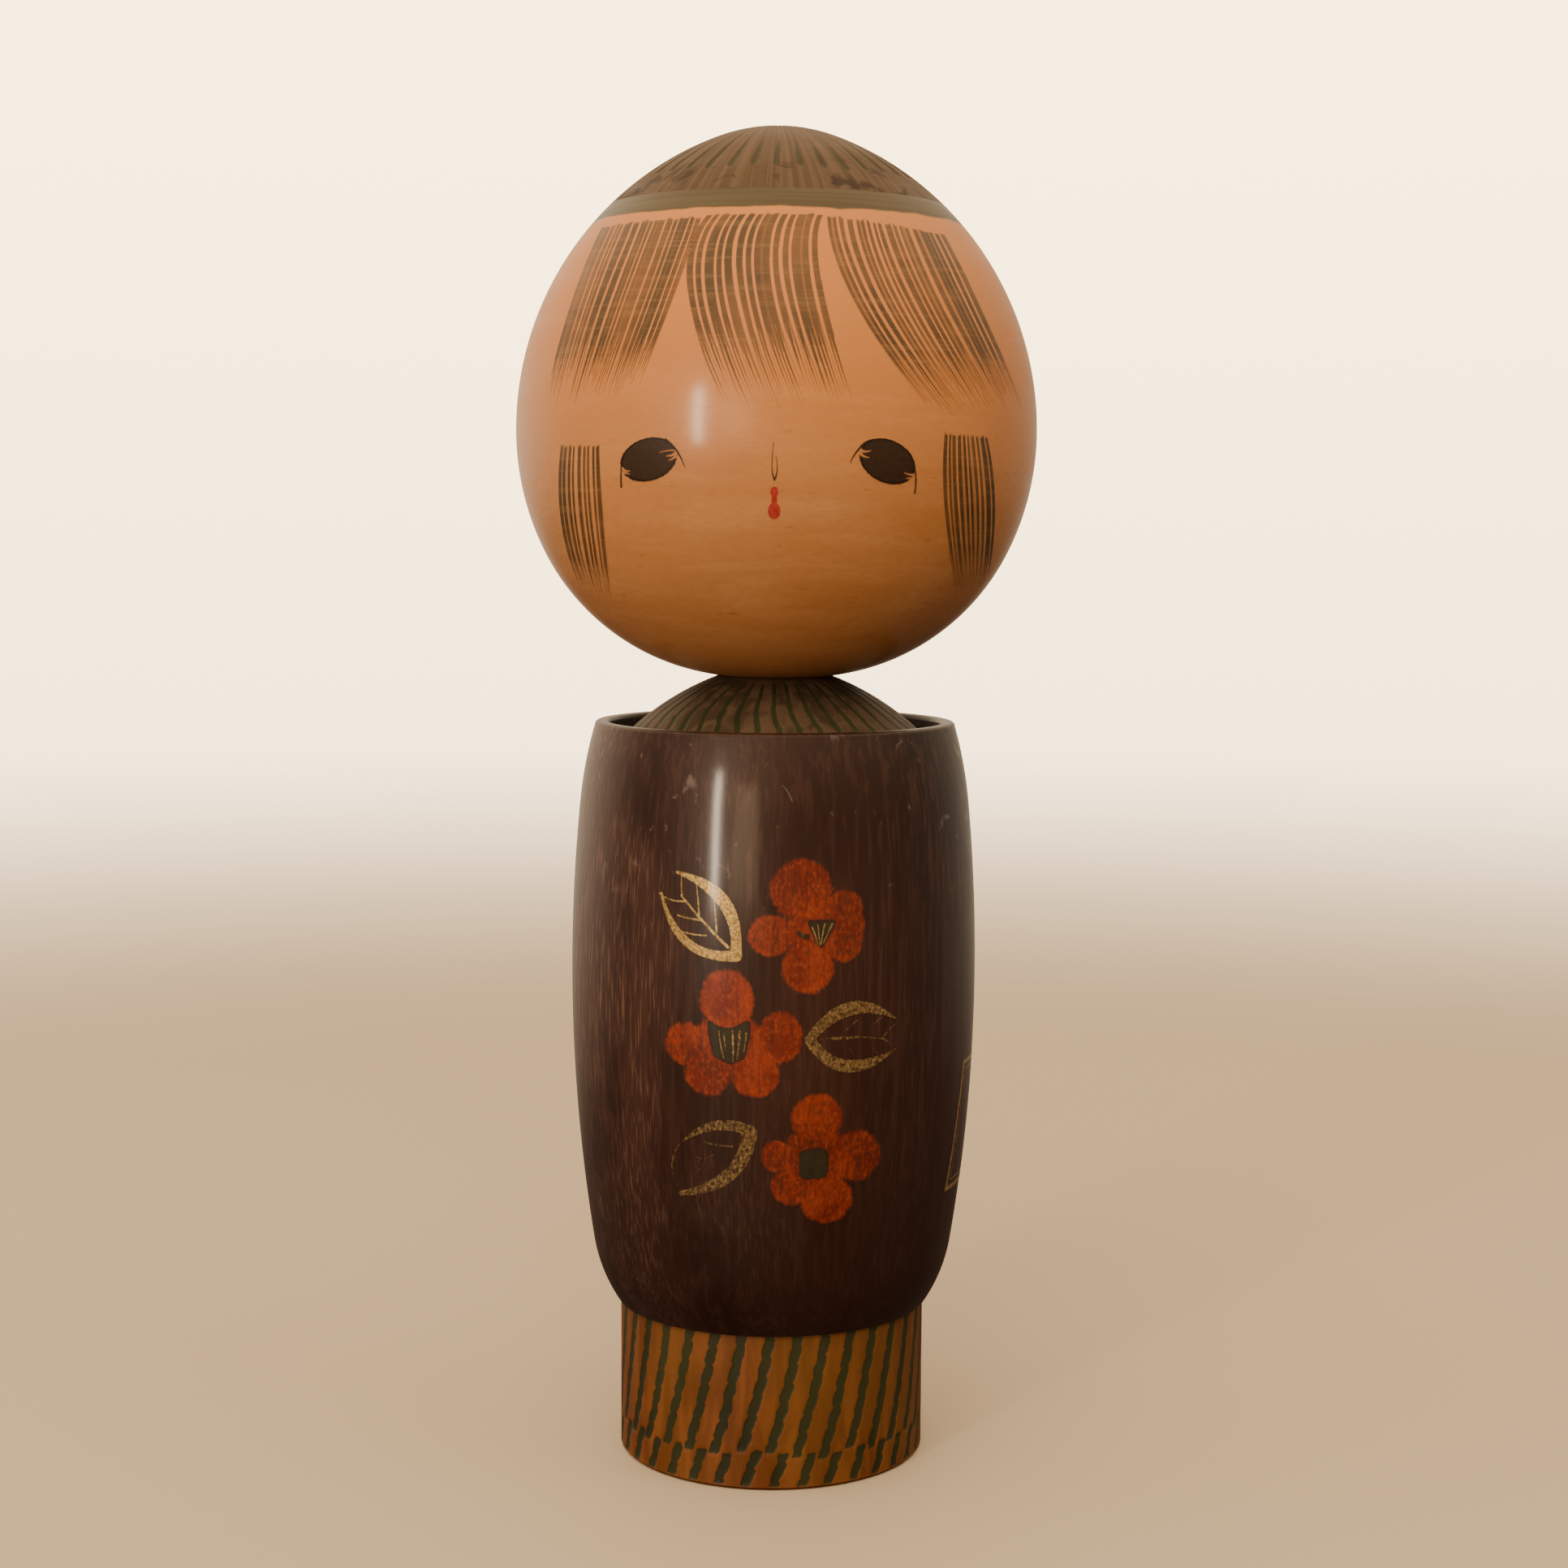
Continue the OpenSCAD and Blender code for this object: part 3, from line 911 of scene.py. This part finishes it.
def petal_colour(material):
    tone = grain(material, (150, 150, 90), 3.0, 0.5)
    stippled = grain(material, (1500, 1500, 1100), 3.0)
    worn = grain(material, (1500, 1500, 95), 2.0)
    red_tones = (0.165, 0.017, 0.0055), (0.29, 0.037, 0.0095)
    bright, dull = (0.37, 0.070, 0.020), (0.090, 0.018, 0.009)
    colour = blended(material, in_range(material, tone, 0.36, 0.64), *red_tones)
    colour = blended(material, in_range(material, stippled, 0.48, 0.66, 0.0, 0.5), colour, bright)
    return blended(material, in_range(material, worn, 0.55, 0.70, 0.0, 0.5), colour, dull)


petal_specks = (1700, 1700, 900)
petal_paint = paint_over("petal_paint", lacquer_colour, lacquer_gloss, petal_colour, petal_specks, 0.9)
give_material(flowers, petal_paint)
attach(flowers, "body")


def first_centre(x, z):
    width = 0.0023 * ramp(z, 0.1016, 0.1072)
    fan = ramp(abs(x - 0.0086), width + 0.0003, width - 0.0002) * ramp(z, 0.1022, 0.1034)
    return fan * ramp(z, 0.1076, 0.1068)


def second_centre(x, z):
    low_z = 0.0812 + 0.45 * abs(x + 0.0075)
    half = 0.0026 + 0.0010 * ramp(z, 0.082, 0.088)
    top_petal = math.hypot((x + 0.0082) / 0.0050, (z - 0.0930) / 0.0057)
    sides = ramp(abs(x + 0.0077), half + 0.0004, half - 0.0004)
    return sides * ramp(z, low_z, low_z + 0.0008) * ramp(top_petal, 0.84, 0.97) * ramp(z, 0.0896, 0.0882)


def third_centre(x, z):
    dx, dz = abs(x - 0.0075), abs(z - 0.0632)
    corner = (dx / 0.0025) ** 4 + (dz / 0.0027) ** 4
    return ramp(corner + 0.35 * waver(x * 1300, z * 1300), 1.5, 0.6)


def centre_ink(share, drop, x, z):
    shape = max(first_centre(x, z), second_centre(x, z), third_centre(x, z))
    return max(0, shape * (0.76 + 0.14 * waver(x * 1200, z * 500, 6)))


def lay_over(film, rise):
    """Lifts a film outwards by a rise, so that it covers the paint below it."""
    for point in film.data.vertices:
        reach = math.hypot(point.co.x, point.co.y)
        point.co.x *= 1 + rise / reach
        point.co.y *= 1 + rise / reach
    return film


centre_boxes = [((0.0030, 0.1012), (0.0118, 0.1082)), ((-0.0124, 0.0805), (-0.0032, 0.0900)),
                ((0.0044, 0.0600), (0.0106, 0.0664))]
centre_step = 0.00014
centres = lay_over(joined("flower_centre_paint", [
    patch_film("centre", sleeve, low, high, centre_step, centre_ink) for low, high in centre_boxes
]), film_rise)


def centre_colour(material):
    dark_tones = (0.015, 0.013, 0.006), (0.046, 0.040, 0.018)
    return blended(material, grain(material, (700, 700, 240), 3.0), *dark_tones)


centre_specks = (1500, 1500, 500)
centre_paint = paint_over("centre_paint", lacquer_colour, lacquer_gloss, centre_colour, centre_specks, 0.6)
give_material(centres, centre_paint)
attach(centres, "body")


# Leaves, stamens and a small frame: gold powder brushed over wet lacquer, so that each stroke is broken
# by tiny dark specks. The frame stands by itself on the sleeve's right and holds nothing.
def crescent(outer, inner):
    """One side of a leaf's edge, between its outer and its inner curve, each through three points."""
    steps = 16
    places, halves = [], []
    for step in range(steps + 1):
        here, there = through(outer, step / steps), through(inner, step / steps)
        places.append(((here[0] + there[0]) / 2, (here[1] + there[1]) / 2))
        halves.append(math.dist(here, there) / 2)
    return legs_of(places, halves)


# each leaf: its lowest and highest corner, its strength, the two sides of its edge, and its veins
leaves = [
    ((-0.0212, 0.0990), (-0.0048, 0.1164), 0.95, [
        crescent(((-0.0173, 0.1156), (-0.0078, 0.1112), (-0.0058, 0.1002)),
                 ((-0.0170, 0.1151), (-0.0096, 0.1096), (-0.0074, 0.1018))),
        crescent(((-0.0202, 0.1116), (-0.0157, 0.1022), (-0.0058, 0.1002)),
                 ((-0.0199, 0.1111), (-0.0148, 0.1036), (-0.0074, 0.1018))),
    ], [
        stroke(((-0.0164, 0.1112), (-0.0120, 0.1064), (-0.0080, 0.1025)), (0.00045, 0.00065)),
        stroke(((-0.0204, 0.1113), (-0.0185, 0.1104), (-0.0160, 0.1102)), (0.00025, 0.0004)),
        stroke(((-0.0171, 0.1077), (-0.0152, 0.1073), (-0.0129, 0.1071)), (0.0003, 0.0005)),
        stroke(((-0.0164, 0.1049), (-0.0145, 0.1045), (-0.0119, 0.1044)), (0.0003, 0.0004)),
        stroke(((-0.0164, 0.1148), (-0.0164, 0.1130), (-0.0163, 0.1111)), (0.0002, 0.0004)),
        stroke(((-0.0137, 0.1137), (-0.0134, 0.1109), (-0.0132, 0.1081)), (0.0002, 0.0004)),
        stroke(((-0.0106, 0.1124), (-0.0103, 0.1087), (-0.0100, 0.1051)), (0.0002, 0.0004)),
    ]),
    ((0.0050, 0.0790), (0.0236, 0.0934), 0.46, [
        crescent(((0.0057, 0.0862), (0.0134, 0.0925), (0.0221, 0.0889)),
                 ((0.0075, 0.0859), (0.0143, 0.0901), (0.0222, 0.0887))),
        crescent(((0.0057, 0.0862), (0.0126, 0.0799), (0.0222, 0.0831)),
                 ((0.0078, 0.0854), (0.0140, 0.0819), (0.0222, 0.0833))),
    ], [
        stroke(((0.0085, 0.0860), (0.0140, 0.0861), (0.0197, 0.0854)), (0.0003, 0.0004)),
        stroke(((0.0108, 0.0861), (0.0133, 0.0861), (0.0158, 0.0860)), (0.0007, 0.0006)),
        stroke(((0.0197, 0.0854), (0.0207, 0.0847), (0.0216, 0.0838)), (0.0004, 0.0002)),
        stroke(((0.0197, 0.0856), (0.0212, 0.0870), (0.0226, 0.0882)), (0.0003, 0.0002)),
        stroke(((0.0128, 0.0872), (0.0140, 0.0882), (0.0152, 0.0892)), (0.0002, 0.0003)),
        stroke(((0.0173, 0.0876), (0.0185, 0.0885), (0.0197, 0.0893)), (0.0002, 0.0003)),
        stroke(((0.0137, 0.0840), (0.0143, 0.0832), (0.0149, 0.0824)), (0.0002, 0.0002)),
        stroke(((0.0175, 0.0843), (0.0184, 0.0833), (0.0192, 0.0823)), (0.0002, 0.0002)),
    ]),
    ((-0.0186, 0.0552), (-0.0018, 0.0716), 0.41, [
        crescent(((-0.0027, 0.0696), (-0.0095, 0.0709), (-0.0162, 0.0668)),
                 ((-0.0046, 0.0688), (-0.0103, 0.0692), (-0.0158, 0.0666))),
        crescent(((-0.0027, 0.0696), (-0.0063, 0.0608), (-0.0160, 0.0565)),
                 ((-0.0054, 0.0683), (-0.0087, 0.0615), (-0.0168, 0.0570))),
    ], [
        stroke(((-0.0122, 0.0669), (-0.0098, 0.0664), (-0.0071, 0.0664)), (0.0003, 0.0004)),
        stroke(((-0.0137, 0.0640), (-0.0122, 0.0637), (-0.0107, 0.0645)), (0.0002, 0.0003)),
        stroke(((-0.0132, 0.0632), (-0.0130, 0.0622), (-0.0131, 0.0612)), (0.0003, 0.0002)),
        stroke(((-0.0165, 0.0662), (-0.0180, 0.0622), (-0.0170, 0.0580)), (0.0003, 0.0003)),
    ]),
]
leaf_step = 0.00013


def gold_broken(x, z):
    """Density of gold powder where it was brushed full: specked by what shows through."""
    return 0.86 + 0.30 * waver(x * 1900, z * 1900, 3) + 0.16 * waver(x * 4200, z * 4200, 9)


def leaf_film(low, high, strength, edges, veins):
    def ink_at(share, drop, x, z):
        body = max(stroke_share(x, z, edge, 0.00012) for edge in edges)
        lines = 0.85 * max(stroke_share(x, z, vein, 0.0001) for vein in veins)
        shape = max(body, lines)
        return max(0, min(1, shape * strength * gold_broken(x, z))) if shape > 0.02 else 0
    return patch_film("leaf", sleeve, low, high, leaf_step, ink_at)


def gold_paint(name):
    """Gold powder: metal where it is dense, lacquer where it is broken."""
    material, shader = finish_material(name)
    density = shader_node(material, "Attribute", attribute_name="ink").outputs["Fac"]
    ink = speckled(material, density, (2000, 2000, 1300), 0.9)
    shimmer = grain(material, (2200, 2200, 2200), 2.0)
    gold_tones = (0.27, 0.165, 0.047), (0.60, 0.41, 0.15)
    gold = blended(material, in_range(material, shimmer, 0.3, 0.7), *gold_tones)
    colour = blended(material, ink, lacquer_colour(material), gold)
    join_sockets(material, colour, shader.inputs["Base Color"])
    join_sockets(material, in_range(material, ink, 0.2, 0.9, 0.0, 0.55), shader.inputs["Metallic"])
    lacquer_gloss(material, shader)
    return material


gold_leaves = joined("leaf_paint", [leaf_film(*leaf) for leaf in leaves])
give_material(gold_leaves, gold_paint("leaf_gold"))
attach(gold_leaves, "body")

# each stamen's stroke, and its strength
stamen_strokes = [
    (stroke(((0.0064, 0.1048), (0.0070, 0.1040), (0.0077, 0.1031)), (0.0002, 0.0002)), 0.6),
    (stroke(((0.0069, 0.1061), (0.0075, 0.1046), (0.0080, 0.1031)), (0.0003, 0.0002)), 0.8),
    (stroke(((0.0079, 0.1066), (0.0081, 0.1048), (0.0083, 0.1030)), (0.0003, 0.0002)), 0.75),
    (stroke(((0.0091, 0.1067), (0.0088, 0.1050), (0.0085, 0.1031)), (0.0003, 0.0002)), 0.8),
    (stroke(((0.0104, 0.1066), (0.0097, 0.1050), (0.0089, 0.1033)), (0.0005, 0.0002)), 0.6),
    (stroke(((0.0044, 0.1053), (0.0051, 0.1048), (0.0060, 0.1045)), (0.0006, 0.0010)), 0.30),
    (stroke(((-0.0095, 0.0874), (-0.0092, 0.0849), (-0.0086, 0.0824)), (0.0003, 0.0002)), 0.7),
    (stroke(((-0.0086, 0.0868), (-0.0085, 0.0856), (-0.0083, 0.0840)), (0.0004, 0.0002)), 0.55),
    (stroke(((-0.0071, 0.0876), (-0.0070, 0.0848), (-0.0070, 0.0820)), (0.0004, 0.0003)), 0.7),
    (stroke(((-0.0058, 0.0874), (-0.0060, 0.0849), (-0.0063, 0.0824)), (0.0006, 0.0004)), 0.45),
    (stroke(((-0.0047, 0.0872), (-0.0048, 0.0856), (-0.0051, 0.0838)), (0.0003, 0.0002)), 0.6),
]


def stamen_ink(share, drop, x, z):
    shape = max(strength * stroke_share(x, z, drawn, 0.0001) for drawn, strength in stamen_strokes)
    return max(0, min(1, shape * gold_broken(x, z))) if shape > 0.02 else 0


stamen_step = 0.00011
stamens = lay_over(joined("stamen_paint", [
    patch_film("stamen", sleeve, low, high, stamen_step, stamen_ink) for low, high in centre_boxes[:2]
]), 2 * film_rise)
give_material(stamens, gold_paint("stamen_gold"))
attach(stamens, "body")

frame_turn = math.radians(77)
frame_lean = math.tan(math.radians(8))
frame_half_w = 0.0068
frame_low_z = 0.0531
frame_high_z = 0.0776
frame_line_w = 0.0009
inner_line_in = 0.0019
frame_step = 0.00016


def frame_ink(share, drop, x, z):
    """A plain rectangle drawn twice: a full line, and a thin one inside it."""
    leaning = x - (z - (frame_low_z + frame_high_z) / 2) * frame_lean
    reach = max(abs(leaning) - frame_half_w, z - frame_high_z, frame_low_z - z)
    line = ramp(abs(reach + frame_line_w / 2), frame_line_w / 2 + 0.0001, frame_line_w / 2 - 0.0001)
    inner = 0.7 * ramp(abs(reach + inner_line_in), 0.00026, 0.00010)
    shape = max(line, inner)
    return max(0, min(1, 0.95 * shape * gold_broken(x, z))) if shape > 0.02 else 0


frame_low = (-frame_half_w - 0.0026, frame_low_z - 0.0005)
frame_high = (frame_half_w + 0.0026, frame_high_z + 0.0005)
gold_frame = patch_film("frame_paint", sleeve, frame_low, frame_high, frame_step, frame_ink, frame_turn)
give_material(gold_frame, gold_paint("frame_gold"))
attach(gold_frame, "body")


# Studio: a pale floor that fades into the surroundings, a narrow window and its second pane, which the
# gloss mirrors, three wide soft lights, which it doesn't, and a camera half a metre in front of the doll.
floor_r = 2.6
select_none()
bpy.ops.mesh.primitive_circle_add(vertices=96, radius=floor_r, fill_type="NGON")
floor = bpy.context.object
floor.name = floor.data.name = "studio_floor"
floor_finish, shader = finish_material("floor_finish")
cloudy = grain(floor_finish, (3, 3, 3), 2.0)
shader.inputs["Roughness"].default_value = 0.7
floor_tones = (0.56, 0.46, 0.33), (0.60, 0.50, 0.36)
join_sockets(floor_finish, blended(floor_finish, cloudy, *floor_tones), shader.inputs["Base Color"])
clear = shader_node(floor_finish, "BsdfTransparent")
from_middle = shader_node(floor_finish, "VectorMath", {0: object_place(floor_finish)}, operation="LENGTH")
fade = in_range(floor_finish, from_middle.outputs["Value"], 0.4, 1.8)
fading = shader_node(floor_finish, "MixShader", {0: fade, 1: shader.outputs[0], 2: clear.outputs[0]})
floor_output = floor_finish.node_tree.nodes["Material Output"]
join_sockets(floor_finish, fading.outputs[0], floor_output.inputs["Surface"])
give_material(floor, floor_finish)
floor.visible_diffuse = False
floor.visible_glossy = False

world = bpy.data.worlds.new("studio")
world.use_nodes = True
bpy.context.scene.world = world
toward = shader_node(world, "SeparateXYZ", {0: shader_node(world, "TexCoord").outputs["Generated"]})
behind = in_range(world, toward.outputs["Y"], -0.1, 0.7)
overhead = in_range(world, toward.outputs["Z"], 0.02, 0.95)
below = in_range(world, toward.outputs["Z"], -0.02, -0.30)
right = in_range(world, toward.outputs["X"], -0.5, 0.8)
back_wall = blended(world, right, (1.30, 1.02, 0.72), (0.50, 0.40, 0.29))
room = blended(world, behind, (0.20, 0.16, 0.115), back_wall)
room = blended(world, overhead, room, (1.5, 1.08, 0.66))
room = blended(world, below, room, (0.075, 0.045, 0.028))
wall_tones = (4.6, 3.5, 2.25), (8.0, 5.7, 3.0)
wall = blended(world, in_range(world, toward.outputs["Z"], -0.25, 0.35), *wall_tones)
seen = shader_node(world, "LightPath").outputs["Is Camera Ray"]
join_sockets(world, blended(world, seen, room, wall), world.node_tree.nodes["Background"].inputs["Color"])


def soft_light(name, direction, elevation, distance, size, power, colour, mirrored=True):
    """A soft rectangle of light that faces the doll's middle, placed by its bearing from the front and its
    elevation, both in degrees. The gloss shows it only if it is mirrored."""
    middle = Vector((0, 0, 0.125))
    bearing, lift = math.radians(direction), math.radians(elevation)
    level = math.cos(lift)
    away = Vector((math.sin(bearing) * level, -math.cos(bearing) * level, math.sin(lift)))
    select_none()
    bpy.ops.object.light_add(type="AREA", location=middle + away * distance)
    light = bpy.context.object
    light.name = name
    light.rotation_euler = away.to_track_quat("Z", "Y").to_euler()
    light.data.shape = "RECTANGLE"
    light.data.size, light.data.size_y = size
    light.data.energy = power
    light.data.color = colour
    light.visible_camera = False
    light.visible_glossy = mirrored


soft_light("window_light", -33, 7, 1.6, (0.08, 0.54), 10, (1.0, 0.80, 0.60))
soft_light("second_pane", -16, 6, 1.6, (0.38, 0.46), 2.4, (1.0, 0.66, 0.38))
soft_light("left_light", -80, 34, 1.5, (0.9, 1.3), 3.0, (1.0, 0.90, 0.78), mirrored=False)
soft_light("right_light", 65, 34, 1.5, (0.9, 1.0), 3.2, (1.0, 0.90, 0.78), mirrored=False)
soft_light("bounced_light", -15, 48, 1.5, (1.2, 1.0), 11, (1.0, 0.84, 0.64), mirrored=False)

camera_pitch = 0.096
camera_roll = 0.006
camera_place = (0.0015, -0.5047, 0.1766)
camera_turn = (math.pi / 2 - camera_pitch, -camera_roll, 0)
bpy.ops.object.camera_add(location=camera_place, rotation=camera_turn)
camera = bpy.context.object
camera.name = "camera"
camera.data.sensor_width = 36
camera.data.lens = 61.16
camera.data.clip_start = 0.01
bpy.context.scene.camera = camera
